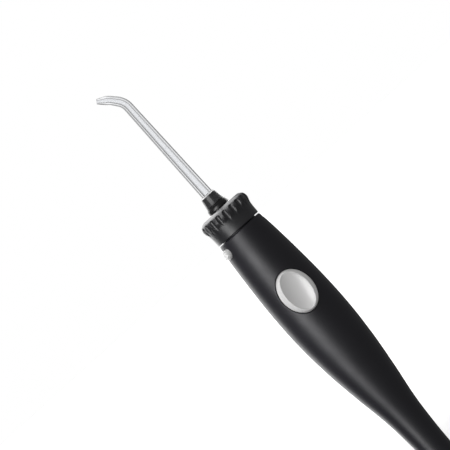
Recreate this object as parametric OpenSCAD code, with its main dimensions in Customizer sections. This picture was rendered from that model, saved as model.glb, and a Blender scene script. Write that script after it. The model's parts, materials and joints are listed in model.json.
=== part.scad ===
// Handset of a countertop water flosser: a slim two-shell handle with a pause valve, a knurled
// collar that turns the jet tip, and a push button that releases the tip.
// Frame: origin at the centre of the hose inlet, +Z along the handle towards the tip,
// -Y is the front with the pause button, -X is the side with the eject button. Millimetres.

/* [Handle body] */
// Height of the top edge of the shells above the hose inlet
body_top = 144.4; // [143:0.2:147]
// Greatest width of the handle, side to side
body_w = 30.6; // [29.6:0.2:31.4]
// Greatest depth of the handle, front to back
body_d = 28.6; // [28:0.2:31]
// How far the palm side swells back from the handle's axis
palm_swell = 1.6; // [0:0.2:2]
// Diameter of the tail, where the hose enters
tail_d = 14.4; // [14:0.2:16]
// Diameter of the shells' top edge
neck_d = 24; // [23.6:0.2:24.4]
// Wall of the two shells
wall = 1.8; // [1.4:0.1:2]

/* [Pause button] */
// Height of the middle of the pause button
pause_z = 106.6; // [104:0.2:108]
// Length of the oval, along the handle
pause_len = 22.1; // [21:0.1:23]
// Width of the oval
pause_w = 16.5; // [16:0.1:17.4]
// How far the button's rim stands out of the front of the handle
pause_proud = 2.2; // [1.6:0.1:3]
// Depth of the thumb dish in the button
pause_dish = 1.5; // [0.8:0.1:1.6]

/* [Eject button] */
// Diameter of the round eject button
eject_d = 4.9; // [4.6:0.1:5.2]
// How far the eject button stands out of the side of the handle
eject_proud = 2.4; // [1.5:0.1:3]
// Angle by which the eject button is turned from the side towards the front
eject_turn = 22; // [18:1:26]

/* [Collar] */
// Diameter over the knurled rim
collar_d = 26.4; // [26:0.2:27]
// Number of flutes round the rim
flutes = 20; // [16:1:22]
// Radius of one flute
flute_r = 1.35; // [1.2:0.05:1.45]

/* [Jet tip] */
// Length of the straight clear tube above its black base
tube_len = 53.2; // [48:0.2:66]
// Diameter of the clear tube at its base
tube_d = 5.8; // [5.4:0.1:5.8]
// Diameter of the clear tube at the bend
bend_d = 4.7; // [4.4:0.1:5]
// Diameter of the nozzle's outlet end
outlet_d = 2.3; // [1.9:0.1:2.6]
// Angle that the nozzle turns away from the tube
nose_angle = 55; // [40:1:65]
// Diameter of the water passage in the tube
jet_bore = 2.8; // [2:0.1:3]

/* [Hose inlet] */
// Bore in the tail that takes the hose's outer sleeve
gland_d = 8.4; // [8:0.1:8.8]
// Spigot that the hose is pushed over
spigot_d = 4.8; // [4.4:0.1:5]

/* [Hidden] */
$fn = 64;

// ---- The handle's outline: [share of height, width, depth, swell], each as a share of the way
// from a plain taper (0) to the greatest size (1).
outline = [
    [0.00, 0.00, 0.00, 0.00],
    [0.10, 0.00, 0.00, 0.05],
    [0.215, 0.11, 0.11, 0.25],
    [0.34, 0.45, 0.42, 0.60],
    [0.47, 0.79, 0.76, 0.90],
    [0.60, 0.99, 0.97, 1.00],
    [0.73, 0.955, 1.00, 0.80],
    [0.855, 0.69, 0.72, 0.35],
    [0.95, 0.325, 0.33, 0.05],
    [1.00, 0.00, 0.00, 0.00]];
body_base = 4;                          // the shells start above the tail cap
body_len = body_top - body_base;
rings = 26;                             // sections along the body
arc_steps = 18;                         // facets round each half

// Hermite curve through a table's column k, at height share h
function span_at(t, h, i = 0) = (i >= len(t) - 2 || h <= t[i + 1][0]) ? i : span_at(t, h, i + 1);
function tangent(t, i, k) =
    let (a = max(i - 1, 0), b = min(i + 1, len(t) - 1)) (t[b][k] - t[a][k]) / (t[b][0] - t[a][0]);
function hermite(p, q, m, n, u) =
    (2 * u^3 - 3 * u^2 + 1) * p + (u^3 - 2 * u^2 + u) * m + (3 * u^2 - 2 * u^3) * q + (u^3 - u^2) * n;
function column(t, h, k) =
    let (i = span_at(t, h), d = t[i + 1][0] - t[i][0])
    hermite(t[i][k], t[i + 1][k], tangent(t, i, k) * d, tangent(t, i + 1, k) * d, (h - t[i][0]) / d);

// Half-width, half-depth and centre offset of the outside at height z
function plain_r(h) = tail_d / 2 + (neck_d - tail_d) / 2 * h;
function section(z) =
    let (h = (z - body_base) / body_len, r = plain_r(h))
    [r + (body_w / 2 - r) * column(outline, h, 1),
     r + (body_d / 2 - r) * column(outline, h, 2),
     palm_swell * column(outline, h, 3)];
function front_y(z) = section(z)[2] - section(z)[1];

// ---- Heights in the neck, from the shells' top edge
eject_z = body_top - 4.8;
lip_top = body_top - 0.2;
lip_under = body_top - 1.4;
lip_r = 8;
rim_r = 9.6;                            // the raised rim that closes the gap under the collar
socket_top = body_top - 1.6;
collar_base = body_top + 0.5;
collar_top = body_top + 13.1;
hub_base = body_top - 1.2;
bearing_step = body_top + 0.2;
bearing_top = body_top + 9.2;

// ---- Jet tip
tip_flange_z = collar_top + 0.15;
ring_z = tip_flange_z + 0.3;
ring_h = 2.8;
cone_z = ring_z + ring_h + 0.1;
cone_top = tip_flange_z + 8.75;
bend_z = cone_top + tube_len;
elbow_r = 8;                            // the main bend, on the tube's centreline
arch_r = 10;                            // the gentle arch halfway along the nozzle
arch_turn = 15;
nose_mid_r = 2.15;
nose_root_len = 2.8;
nose_end_len = 4.5;
bend_bore = 0.95;
mid_bore = 0.85;
outlet_bore = 0.45;
shank_r = 3.4;
shank_base = body_top - 13.2;
groove_r = 2.5;
groove_h = 1.6;
hex_flats = 8;

// ---- Valve
plunger_bore_r = 2.6;
plunger_r = 2.5;
channel_r = 1.2;
port_top = pause_z + 11.5;
port_bore_r = 3.45;
plug_y = 10.25;
ear_x = 8;
button_top_y = front_y(pause_z) - pause_proud;
button_gap = 0.25;

module at_eject() rotate([0, 0, eject_turn]) translate([0, 0, eject_z]) along_x() children();
module along_y() rotate([-90, 0, 0]) children();    // a part drawn along Z is laid along +Y
module along_x() rotate([0, 90, 0]) children();     // a part drawn along Z is laid along +X

module tube(r_out, r_in, z0, z1) {
    translate([0, 0, z0]) difference() {
        cylinder(r = r_out, h = z1 - z0);
        translate([0, 0, -1]) cylinder(r = r_in, h = z1 - z0 + 2);
    }
}

module rod(r, z0, z1) {
    translate([0, 0, z0]) cylinder(r = r, h = z1 - z0);
}

module o_ring(r_mid, r_cord, z) {
    translate([0, 0, z]) rotate_extrude() translate([r_mid, 0]) circle(r = r_cord, $fn = 32);
}

// A coil spring along +Z, its end turns closed against their neighbours, as a swept tube
module coil_spring(r_mid, r_wire, length, turns) {
    steps = 16;
    sides = 6;
    count = round(steps * (turns + 2));
    pitch = 2.15 * r_wire;
    rise = length - 2 * r_wire - 2 * pitch;
    lift = function(i)
        let (t = i / steps)
        t < 1 ? pitch * t
        : t > turns + 1 ? pitch + rise + pitch * (t - turns - 1)
        : pitch + rise * (t - 1) / turns;
    points = [for (i = [0 : count], j = [0 : sides - 1])
        let (a = 360 * i / steps, b = 360 * j / sides, r = r_mid + r_wire * cos(b))
        [r * cos(a), r * sin(a), r_wire + lift(i) + r_wire * sin(b)]];
    walls = [for (i = [0 : count - 1], j = [0 : sides - 1], half = [0, 1])
        let (k = (j + 1) % sides, a = i * sides, b = a + sides)
        half == 0 ? [a + j, b + j, b + k] : [a + j, b + k, a + k]];
    start = [for (j = [0 : sides - 1]) j];
    end = [for (j = [sides - 1 : -1 : 0]) count * sides + j];
    polyhedron(points, concat(walls, [start, end]), convexity = 6);
}

// ---- Shells
// One point of the skin: side is 1 for the back half and -1 for the front half, u runs 0 to 1
// round the half from +X to -X, and the ends lie in the plane y = 0.
function skin(z, side, u, inset) =
    let (s = section(z), w = s[0] - inset, d = s[1] - inset,
         t0 = asin(-side * s[2] / d), t = t0 + (180 - 2 * t0) * u)
    [w * cos(t), s[2] + side * d * sin(t), z];

module half_shell(side) {
    m = arc_steps + 1;
    ring = 2 * m;
    zs = [for (i = [0 : rings]) body_base + body_len * i / rings];
    points = [for (z = zs, layer = [0, wall], j = [0 : arc_steps]) skin(z, side, j / arc_steps, layer)];
    outside = [for (i = [0 : rings - 1], j = [0 : arc_steps - 1])
        [i * ring + j, i * ring + j + 1, (i + 1) * ring + j + 1, (i + 1) * ring + j]];
    inside = [for (i = [0 : rings - 1], j = [0 : arc_steps - 1])
        let (a = i * ring + m + j, b = a + ring)
        [a + 1, a, b, b + 1]];
    edges = [for (i = [0 : rings - 1], e = [0, arc_steps])
        let (a = i * ring + e, b = a + m, c = b + ring, d = a + ring)
        e == 0 ? [b, a, d, c] : [a, b, c, d]];
    ends = [for (i = [0, rings], j = [0 : arc_steps - 1])
        let (a = i * ring + j, b = a + 1, c = b + m, d = a + m)
        i == 0 ? [d, c, b, a] : [a, b, c, d]];
    faces = concat(outside, inside, edges, ends);
    flip = [for (f = faces) [for (k = [len(f) - 1 : -1 : 0]) f[k]]];
    polyhedron(points, side == 1 ? flip : faces, convexity = 6);
}

// The solid inside the skin, used to trim ribs and bosses to it
module core(inset) {
    n = 2 * arc_steps;
    points = [for (i = [0 : rings], j = [0 : n - 1])
        let (z = body_base + body_len * i / rings, s = section(z), a = 360 * j / n)
        [(s[0] - inset) * cos(a), s[2] + (s[1] - inset) * sin(a), z]];
    walls = [for (i = [0 : rings - 1], j = [0 : n - 1])
        let (k = (j + 1) % n)
        [i * n + j, (i + 1) * n + j, (i + 1) * n + k, i * n + k]];
    floor = [for (j = [0 : n - 1]) j];
    roof = [for (j = [n - 1 : -1 : 0]) rings * n + j];
    polyhedron(points, concat(walls, [floor, roof]), convexity = 4);
}

// A flat rib across one half, with a round opening: [height, thickness, opening radius]
shell_ribs = [
    [14.7, 1.2, 4.7],
    [18.7, 1.2, 4.5],
    [38, 1.4, 5],
    [62, 1.4, 5],
    [body_top - 19.6, 1.3, 6.4],
    [body_top - 16.1, 1.3, 6.4]];

module shell_rib(side, rib) {
    translate([-20, side == 1 ? 0 : -20, rib[0]]) cube([40, 20, rib[1]]);
}

// Round pins on the ribs' ends, from depth root inside the back half to reach inside the front half
module locating_pins(r, root, reach) {
    for (rib = [shell_ribs[2], shell_ribs[3]], x = [-1, 1])
        translate([x * (section(rib[0])[0] - 2.7), root, rib[0] + rib[1] / 2])
            rotate([90, 0, 0]) cylinder(r = r, h = root + reach, $fn = 24);
}

// Everything that one shell carries inside, trimmed to the middle of its wall
module shell_fittings(side) {
    intersection() {
        core(wall / 2);
        union() {
            for (rib = shell_ribs)
                difference() {
                    shell_rib(side, rib);
                    rod(rib[2], rib[0] - 1, rib[0] + rib[1] + 1);
                }
            difference() {
                translate([-20, side == 1 ? 5 : -20, body_top - 4.4]) cube([40, 15, 1.2]);
                rod(7.2, body_top - 6, body_top);
                at_eject() rod(3.8, -20, -5);
            }
            children();
        }
    }
    rotate([0, 0, side == 1 ? 0 : 180]) rotate_extrude(angle = 180)
        polygon([
            [lip_r, lip_under], [neck_d / 2 - 0.9, lip_under], [neck_d / 2 - 0.9, lip_top],
            [rim_r, lip_top], [rim_r, lip_top + 1.2], [lip_r + 0.4, lip_top + 1.2],
            [lip_r, lip_top]]);
}

module oval(length, width) {
    n = 48;
    polygon([for (i = [0 : n - 1]) [width / 2 * cos(360 * i / n), length / 2 * sin(360 * i / n)]]);
}

// An upright oval prism, its axis along Y, from y0 to y1
module oval_prism(length, width, y0, y1) {
    translate([0, y0, pause_z]) rotate([-90, 0, 0]) linear_extrude(y1 - y0) oval(length, width);
}

eject_hole_r = eject_d / 2 + 0.2;
tunnel_end_y = -8.5;

module front_shell() color([0.05, 0.05, 0.06]) {
    window_len = pause_len + 2 * button_gap;
    window_w = pause_w + 2 * button_gap;
    difference() {
        union() {
            half_shell(-1);
            shell_fittings(-1)
                oval_prism(window_len + 2.6, window_w + 2.6, -18, tunnel_end_y);
        }
        oval_prism(window_len, window_w, -20, -5);
        at_eject() rod(eject_hole_r, -20, -5);
        locating_pins(0.65, 1, 2.8);
    }
}

module back_shell() color([0.05, 0.05, 0.06]) {
    boss_y = 5.05;
    difference() {
        union() {
            half_shell(1);
            shell_fittings(1)
                for (x = [-ear_x, ear_x])
                    translate([x, boss_y, pause_z]) along_y() cylinder(r = 2.4, h = 12, $fn = 32);
            locating_pins(0.55, 1.5, 2.4);
        }
        for (x = [-ear_x, ear_x])
            translate([x, boss_y - 1, pause_z]) along_y() cylinder(r = 1.05, h = 6, $fn = 32);
        at_eject() rod(eject_hole_r, -20, -5);
    }
}

// ---- Tail and water inlet
module tail_cap() color([0.05, 0.05, 0.06]) {
    gland_r = gland_d / 2;
    rotate_extrude() polygon([
        [gland_r, 0], [tail_d / 2 - 0.8, 0], [tail_d / 2, 0.8], [tail_d / 2, body_base - 0.1],
        [5.3, body_base - 0.1], [5.3, 11.5], [4.6, 11.5], [4.6, 6.2], [gland_r, 6]]);
}

inlet_flange_z = 16;
module inlet_fitting() color([0.85, 0.86, 0.86]) {
    rotate_extrude() polygon([
        [1.5, 6.8], [spigot_d / 2 - 0.4, 6.8], [spigot_d / 2, 7.2], [spigot_d / 2, inlet_flange_z],
        [5.3, inlet_flange_z], [5.3, 18.5], [2.6, 18.5], [2.6, 20.5], [2.9, 20.5], [2.45, 23.5],
        [2.9, 23.5], [2.45, 26.5], [2.9, 26.5], [2.3, 29.5], [1.5, 29.5]]);
}

tube_z0 = 20.2;
tube_z1 = pause_z - 7.5;
module supply_tube() color([0.75, 0.8, 0.85]) {
    rotate_extrude() polygon([
        [2.95, tube_z0], [4, tube_z0], [4, 30], [3.4, 33], [3.4, tube_z1 - 14],
        [4, tube_z1 - 11], [4, tube_z1], [2.95, tube_z1], [2.95, tube_z1 - 11],
        [2.1, tube_z1 - 13.5], [2.1, 32.5], [2.95, 30]]);
}

module tube_clamp(z) {
    tube(4.65, 4.02, z, z + 3.2);
    difference() {
        translate([3.9, -1, z + 0.4]) cube([2, 2, 2.4]);
        rod(4.02, z - 1, z + 5);
    }
}

module lower_tube_clamp() color([0.7, 0.7, 0.72]) tube_clamp(24.5);
module upper_tube_clamp() color([0.7, 0.7, 0.72]) tube_clamp(tube_z1 - 8);

// ---- Pause valve
module valve_body() color([0.85, 0.86, 0.86]) {
    barb_top = pause_z - 6.8;
    difference() {
        union() {
            rod(4.1, barb_top, port_top);
            translate([0, -4.6, pause_z]) along_y() cylinder(r = 4.6, h = plug_y - 0.05 + 4.6);
            translate([-ear_x, 3, pause_z - 2.4]) cube([2 * ear_x, 2, 4.8]);
            for (x = [-ear_x, ear_x])
                translate([x, 3, pause_z]) along_y() cylinder(r = 2.4, h = 2);
            rotate_extrude() polygon([
                [0, barb_top - 11.2], [2.3, barb_top - 11.2], [2.9, barb_top - 8.4], [2.45, barb_top - 8.4],
                [2.9, barb_top - 5.4], [2.45, barb_top - 5.4], [2.9, barb_top - 2.4], [2.6, barb_top - 2.4],
                [2.6, barb_top + 1], [0, barb_top + 1]]);
        }
        translate([0, -6, pause_z]) along_y() cylinder(r = plunger_bore_r, h = 20);
        translate([0, 8.4, pause_z]) along_y() cylinder(r = 3, h = 5);
        rod(channel_r, barb_top - 13, pause_z + 6);
        rod(port_bore_r, pause_z + 5, port_top + 1);
        for (x = [-ear_x, ear_x])
            translate([x, 0, pause_z]) along_y() cylinder(r = 1.2, h = 8, $fn = 32);
    }
}

module valve_plug() color([0.2, 0.2, 0.22]) {
    translate([0, 0, pause_z]) along_y() {
        tube(2.95, 2.35, 8.4, plug_y);
        difference() {
            rod(4.4, plug_y, plug_y + 1.2);
            translate([-0.5, -3, plug_y + 0.6]) cube([1, 6, 2]);
        }
    }
}

spring_y = 4.65;
module pause_spring() color([0.75, 0.76, 0.78]) {
    translate([0, spring_y, pause_z]) along_y() coil_spring(1.8, 0.2, plug_y - spring_y, 4);
}

module valve_screws() color([0.7, 0.7, 0.72]) {
    for (x = [-ear_x, ear_x])
        translate([x, 0, pause_z]) along_y() difference() {
            union() {
                rod(1.9, 1.7, 2.95);
                rod(1, 2.9, 9.6);
            }
            translate([-0.25, -1.4, 1]) cube([0.5, 2.8, 1.2]);
            translate([-1.4, -0.25, 1]) cube([2.8, 0.5, 1.2]);
        }
}

seal_groove_z = pause_z + 8.2;
module port_seal() color([0.1, 0.1, 0.1]) o_ring(2.96, 0.46, seal_groove_z);

module valve_plunger() color([0.9, 0.9, 0.9]) {
    difference() {
        translate([0, 0, pause_z]) along_y() rotate_extrude() polygon([
            [0, -12], [1.8, -12], [1.8, -4.4], [plunger_r, -4.4], [plunger_r, -3.5],
            [1.9, -3.5], [1.9, -2.5], [plunger_r, -2.5], [plunger_r, -1.35], [channel_r, -1.35],
            [channel_r, 1.35], [plunger_r, 1.35], [plunger_r, 2.5], [1.9, 2.5], [1.9, 3.5],
            [plunger_r, 3.5], [plunger_r, 4.6], [1.3, 4.6], [1.3, 5.6], [0, 5.6]]);
        translate([-5, pin_y, pause_z]) along_x() cylinder(r = 0.53, h = 10, $fn = 24);
    }
}

module plunger_seals() color([0.1, 0.1, 0.1]) {
    translate([0, 0, pause_z]) along_y()
        for (y = [-3, 3]) o_ring(2.24, 0.33, y);
}

// ---- Pause button
button_skirt_y = -8.7;
boss_end_y = -7.5;
pin_y = -9.6;

// The button's outside as stacked ovals: drafted sides, a narrow crest and the thumb dish
module button_skin() {
    n = 48;
    flank = 1.8;                        // how far the crest lies inside the base outline
    sides = [for (t = [0, 0.3, 0.6, 0.85, 1])
        [flank * (0.4 * t + 0.6 * t^2), button_top_y + 3.2 * (1 - t)]];
    dish = [for (t = [1, 0.95, 0.88, 0.78, 0.62, 0.4, 0.15])
        [t, button_top_y + pause_dish * (1 - t^2.2)]];
    a = pause_len / 2;
    b = pause_w / 2;
    rim_a = a - 0.4 * flank - 0.25;
    rim_b = b - flank - 0.25;
    rings = concat(
        [[a, b, button_skirt_y]],
        [for (s = sides) [a - 0.4 * s[0], b - s[0], s[1]]],
        [for (d = dish) [rim_a * d[0], rim_b * d[0], d[1]]]);
    last = len(rings) - 1;
    points = [for (r = rings, i = [0 : n - 1])
        [r[1] * cos(360 * i / n), r[2], pause_z + r[0] * sin(360 * i / n)]];
    walls = [for (k = [0 : last - 1], i = [0 : n - 1])
        let (m = (i + 1) % n)
        [k * n + m, k * n + i, (k + 1) * n + i, (k + 1) * n + m]];
    back = [for (i = [0 : n - 1]) i];
    middle = [for (i = [n - 1 : -1 : 0]) last * n + i];
    polyhedron(points, concat(walls, [back, middle]), convexity = 4);
}

module pause_button() color([0.78, 0.78, 0.79]) {
    difference() {
        union() {
            difference() {
                button_skin();
                oval_prism(pause_len - 3, pause_w - 3, button_top_y + 3.6, button_skirt_y + 1);
            }
            translate([0, button_top_y + 3.2, pause_z]) along_y()
                cylinder(r = 3.3, h = boss_end_y - button_top_y - 3.2);
        }
        translate([0, -12.05, pause_z]) along_y() cylinder(r = 1.85, h = 8);
        translate([-10, pin_y, pause_z]) along_x() cylinder(r = 0.55, h = 14.7, $fn = 24);
    }
    // hooks at both ends of the oval, which catch behind the shell's tunnel
    for (s = [-1, 1]) translate([0, 0, pause_z]) scale([1, 1, s]) {
        translate([-2.5, button_skirt_y - 0.5, pause_len / 2 - 1.6]) cube([5, 1.9, 1.3]);
        translate([-2.5, tunnel_end_y + 0.2, pause_len / 2 - 1.6]) cube([5, 1, 2.5]);
    }
}

module plunger_pin() color([0.7, 0.7, 0.72]) {
    translate([-4.6, pin_y, pause_z]) along_x() cylinder(r = 0.5, h = 9.2, $fn = 24);
}

// ---- Tip socket, latch and collar bearing
clip_y = groove_r + 0.5;
module tip_socket() color([0.85, 0.86, 0.86]) {
    flange_z = body_top - 18.2;
    difference() {
        union() {
            rotate_extrude() polygon([
                [0, pause_z + 5.4], [3.4, pause_z + 5.4], [3.4, port_top + 0.1], [4.4, port_top + 0.1],
                [4.4, pause_z + 15], [6.2, pause_z + 16.5], [6.2, flange_z], [8.2, flange_z],
                [8.2, flange_z + 2], [6.2, flange_z + 2], [6.2, socket_top], [0, socket_top]]);
            at_eject() rod(2.4, -6.9, -0.9);
        }
        tube(4, 2.5, seal_groove_z - 0.6, seal_groove_z + 0.6);
        rod(1.5, pause_z, body_top);
        rod(shank_r + 0.05, shank_base - 0.6, body_top);
        rod(5.2, body_top - 11.2, body_top - 9);
        rotate([0, 0, eject_turn]) translate([-6.3, -4.4, eject_z - 1]) cube([16, 8.8, 2]);
        at_eject() translate([0, 0, -8]) cylinder(r = 1.25, h = 3.7, $fn = 32);
    }
}

module tip_seal() color([0.1, 0.1, 0.1]) o_ring(4.32, 0.86, body_top - 10.1);

// A U of spring wire whose legs lie in the groove of the tip's shank and turn in at their ends
module latch_clip() color([0.75, 0.76, 0.78]) {
    wire = 0.45;
    rotate([0, 0, eject_turn]) translate([0, 0, eject_z]) {
        for (s = [-1, 1]) {
            translate([-3.3, s * clip_y, 0]) along_x() cylinder(r = wire, h = 7.8, $fn = 24);
            translate([-3.1, s * (clip_y + 0.05), 0]) rotate([0, 90, -s * 137])
                cylinder(r = wire - 0.03, h = 2.3, $fn = 24);
        }
        translate([4.5, 0, 0]) rotate([0, 0, -90]) rotate_extrude(angle = 180)
            translate([clip_y, 0]) circle(r = wire, $fn = 24);
    }
}

module neck_bearing() color([0.12, 0.12, 0.13]) {
    difference() {
        rotate_extrude() polygon([
            [7, body_top - 3], [8.8, body_top - 3], [8.8, body_top - 1.5], [7.85, body_top - 1.5],
            [7.85, bearing_top], [6.06, bearing_top], [6.06, bearing_step], [7, bearing_step]]);
        rotate([0, 0, eject_turn]) translate([-12, -3.6, body_top - 4]) cube([5.5, 7.2, 2.9]);
    }
}

module rotation_collar() color([0.05, 0.05, 0.06]) {
    r = collar_d / 2;
    difference() {
        rotate_extrude() polygon([
            [0, hub_base], [6, hub_base], [6, collar_top - 2.6], [8.3, collar_top - 2.6],
            [8.3, collar_base + 3.4], [10, collar_base + 1.4], [10, collar_base], [r - 1.2, collar_base],
            [r - 1.15, collar_base + 2.5], [r - 1, collar_base + 4.6], [r - 0.8, collar_base + 6.1],
            [r - 0.48, collar_base + 7.1], [r - 0.13, collar_base + 8.1], [r, collar_base + 9.1],
            [r - 0.15, collar_top - 2.5], [r - 0.3, collar_top - 2], [r - 0.55, collar_top - 1.5],
            [r - 0.9, collar_top - 1.1], [r - 1.3, collar_top - 0.8], [r - 2.2, collar_top - 0.2],
            [r - 2.8, collar_top], [0, collar_top]]);
        for (i = [0 : flutes - 1]) rotate([0, 0, 360 * (i + 0.8) / flutes])
            translate([r + 0.4, 0, collar_base + 4]) {
                cylinder(r = flute_r, h = collar_top - collar_base - 6.3, $fn = 32);
                translate([0, 0, collar_top - collar_base - 6.3]) sphere(r = flute_r, $fn = 32);
            }
        rod(shank_r + 0.3, hub_base - 1, collar_top);
        translate([0, 0, body_top + 5.2]) rotate([0, 0, 30])
            cylinder(r = (hex_flats / 2 + 0.1) / cos(30), h = 10, $fn = 6);
        tube(7, 5.4, body_top - 0.7, body_top + 0.1);
        tube(7, 5, body_top + 4, body_top + 5);
    }
}

module collar_clip() color([0.75, 0.76, 0.78]) {
    translate([0, 0, body_top - 0.65]) rotate([0, 0, 30]) rotate_extrude(angle = 300)
        translate([5.42, 0]) square([1.36, 0.7]);
}

module collar_drag_ring() color([0.1, 0.1, 0.1]) o_ring(5.54, 0.48, body_top + 4.5);

// ---- Jet tip
module tip_base() color([0.05, 0.05, 0.06]) {
    difference() {
        union() {
            rotate_extrude() polygon([
                [0, shank_base], [shank_r - 0.5, shank_base], [shank_r, shank_base + 0.8],
                [shank_r, eject_z - groove_h / 2], [groove_r, eject_z - groove_h / 2],
                [groove_r, eject_z + groove_h / 2], [shank_r, eject_z + groove_h / 2],
                [shank_r, tip_flange_z + 0.05], [5.25, tip_flange_z], [5.25, ring_z - 0.05],
                [4.4, ring_z - 0.05], [4.4, cone_z - 0.06], [4.92, cone_z], [4.82, cone_z + 0.4],
                [4.5, cone_z + 2.15], [4.17, cone_z + 4.15], [4, cone_top - 0.75],
                [3.5, cone_top - 0.25], [3.4, cone_top], [0, cone_top]]);
            translate([0, 0, body_top + 5.4]) rotate([0, 0, 30])
                cylinder(r = hex_flats / 2 / cos(30), h = tip_flange_z - body_top - 5.3, $fn = 6);
        }
        rod(jet_bore / 2, shank_base - 1, cone_top);
        rod(tube_d / 2 + 0.02, cone_top - 6.4, cone_top + 1);
    }
}

module tip_id_ring() color([0.05, 0.05, 0.06]) {
    rotate_extrude() polygon([
        [4.43, ring_z], [5.45, ring_z], [5.65, ring_z + 0.25], [5.65, ring_z + 1.15],
        [5.5, ring_z + 1.7], [5.25, ring_z + 2.2], [5, ring_z + ring_h], [4.43, ring_z + ring_h]]);
}

// The nozzle as a swept tube. A station is [x, height above the bend, turn, outer radius, bore radius];
// it starts a little inside the straight tube, turns at the elbow, arches halfway and ends at the outlet.
module nozzle() {
    n = 32;
    first = nose_angle - arch_turn;
    ex = -elbow_r * (1 - cos(first));
    ez = elbow_r * sin(first);
    ax = ex - nose_root_len * sin(first);
    az = ez + nose_root_len * cos(first);
    r0 = bend_d / 2 - 0.02;
    b0 = bend_bore + 0.02;
    elbow = [for (t = [0 : 0.2 : 1])
        [-elbow_r * (1 - cos(first * t)), elbow_r * sin(first * t), first * t, r0, b0]];
    arch = [for (t = [0 : 0.34 : 1.02])
        let (a = first + arch_turn * min(t, 1))
        [ax - arch_r * (cos(first) - cos(a)), az + arch_r * (sin(a) - sin(first)), a, nose_mid_r, mid_bore]];
    last = arch[len(arch) - 1];
    outlet = [last[0] - nose_end_len * sin(nose_angle), last[1] + nose_end_len * cos(nose_angle),
        nose_angle, outlet_d / 2, outlet_bore];
    stations = concat([[0, -0.5, 0, r0, b0]], elbow, arch, [outlet]);
    count = len(stations);
    ring = 2 * n;
    points = [for (s = stations, k = [3, 4], i = [0 : n - 1])
        let (a = 360 * i / n, c = s[k] * cos(a))
        [s[0] + c * cos(s[2]), s[k] * sin(a), bend_z + s[1] + c * sin(s[2])]];
    outside = [for (q = [0 : count - 2], i = [0 : n - 1])
        let (m = (i + 1) % n, a = q * ring, b = a + ring) [a + m, a + i, b + i, b + m]];
    inside = [for (q = [0 : count - 2], i = [0 : n - 1])
        let (m = (i + 1) % n, a = q * ring + n, b = a + ring) [a + i, a + m, b + m, b + i]];
    foot = [for (i = [0 : n - 1]) let (m = (i + 1) % n) [i, m, n + m, n + i]];
    tip = (count - 1) * ring;
    face = [for (i = [0 : n - 1]) let (m = (i + 1) % n) [tip + m, tip + i, tip + n + i, tip + n + m]];
    polyhedron(points, concat(outside, inside, foot, face), convexity = 6);
}

module jet_tip() color([0.85, 0.9, 0.95, 0.4]) {
    stub_z = cone_top - 6.3;
    rotate_extrude() polygon([
        [jet_bore / 2, stub_z], [tube_d / 2, stub_z], [tube_d / 2, cone_top], [bend_d / 2, bend_z],
        [bend_bore, bend_z], [jet_bore / 2, cone_top]]);
    nozzle();
}

// ---- Eject button: distances from the handle's axis
eject_face = section(eject_z)[0];       // the outside of the neck
eject_flange = eject_face - wall - 0.7; // the flange that keeps the button in
eject_pocket = 11.4;
spring_seat = 6.9;
module eject_button() color([0.93, 0.93, 0.93]) {
    r = eject_d / 2;
    face = -(eject_face + eject_proud);
    at_eject() difference() {
        rotate_extrude() polygon([
            [0, face], [r * 0.5, face + 0.12], [r * 0.85, face + 0.6], [r, face + 1.4], [r, -eject_flange],
            [3.3, -eject_flange], [3.3, 0.7 - eject_flange], [0, 0.7 - eject_flange]]);
        rod(1.95, -eject_pocket, -8);
        rod(1.1, -eject_pocket - 2.2, -8);
    }
}

module eject_pusher() color([0.85, 0.86, 0.86]) {
    at_eject() rod(1.05, -eject_pocket - 2.15, -6.1);
    rotate([0, 0, eject_turn]) translate([0, 0, eject_z - 0.55]) linear_extrude(1.1)
        polygon([[-6.2, -2.6], [-6, -2.6], [-5.3, -0.8], [-5.3, 0.8], [-6, 2.6], [-6.2, 2.6]]);
}

module eject_spring() color([0.75, 0.76, 0.78]) {
    at_eject() translate([0, 0, 0.02 - eject_pocket])
        coil_spring(1.62, 0.15, eject_pocket - spring_seat - 0.04, 4);
}

front_shell();
back_shell();
tail_cap();
inlet_fitting();
supply_tube();
lower_tube_clamp();
upper_tube_clamp();
valve_body();
valve_plug();
pause_spring();
valve_screws();
port_seal();
tip_socket();
tip_seal();
latch_clip();
neck_bearing();
eject_spring();
rotation_collar();
collar_clip();
collar_drag_ring();
jet_tip();
tip_base();
tip_id_ring();
eject_button();
eject_pusher();
pause_button();
valve_plunger();
plunger_seals();
plunger_pin();
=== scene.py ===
import bmesh
import bpy
import json
import math
from mathutils import Matrix, Vector


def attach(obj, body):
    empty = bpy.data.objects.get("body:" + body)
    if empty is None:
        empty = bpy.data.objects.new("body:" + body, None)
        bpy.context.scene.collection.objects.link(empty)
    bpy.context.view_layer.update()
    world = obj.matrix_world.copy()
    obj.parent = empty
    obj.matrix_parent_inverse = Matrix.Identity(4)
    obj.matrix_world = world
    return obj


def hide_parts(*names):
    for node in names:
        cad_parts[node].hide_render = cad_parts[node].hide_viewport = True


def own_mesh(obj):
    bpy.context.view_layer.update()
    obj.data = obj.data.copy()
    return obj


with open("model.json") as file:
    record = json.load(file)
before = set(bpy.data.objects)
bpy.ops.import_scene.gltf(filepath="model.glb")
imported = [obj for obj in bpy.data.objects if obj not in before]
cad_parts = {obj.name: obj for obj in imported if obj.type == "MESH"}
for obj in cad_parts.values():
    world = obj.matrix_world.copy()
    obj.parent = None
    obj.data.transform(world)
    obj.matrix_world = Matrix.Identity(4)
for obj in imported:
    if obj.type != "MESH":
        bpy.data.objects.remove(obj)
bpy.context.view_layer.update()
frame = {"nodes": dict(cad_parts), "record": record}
MM = 0.001

# The handset stands on its tail: Z runs up the handle to the tip and -Y is its front. Pieces that
# show are rebuilt here as smooth meshes at the CAD's sizes; the CAD's own meshes fill the inside.

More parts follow.
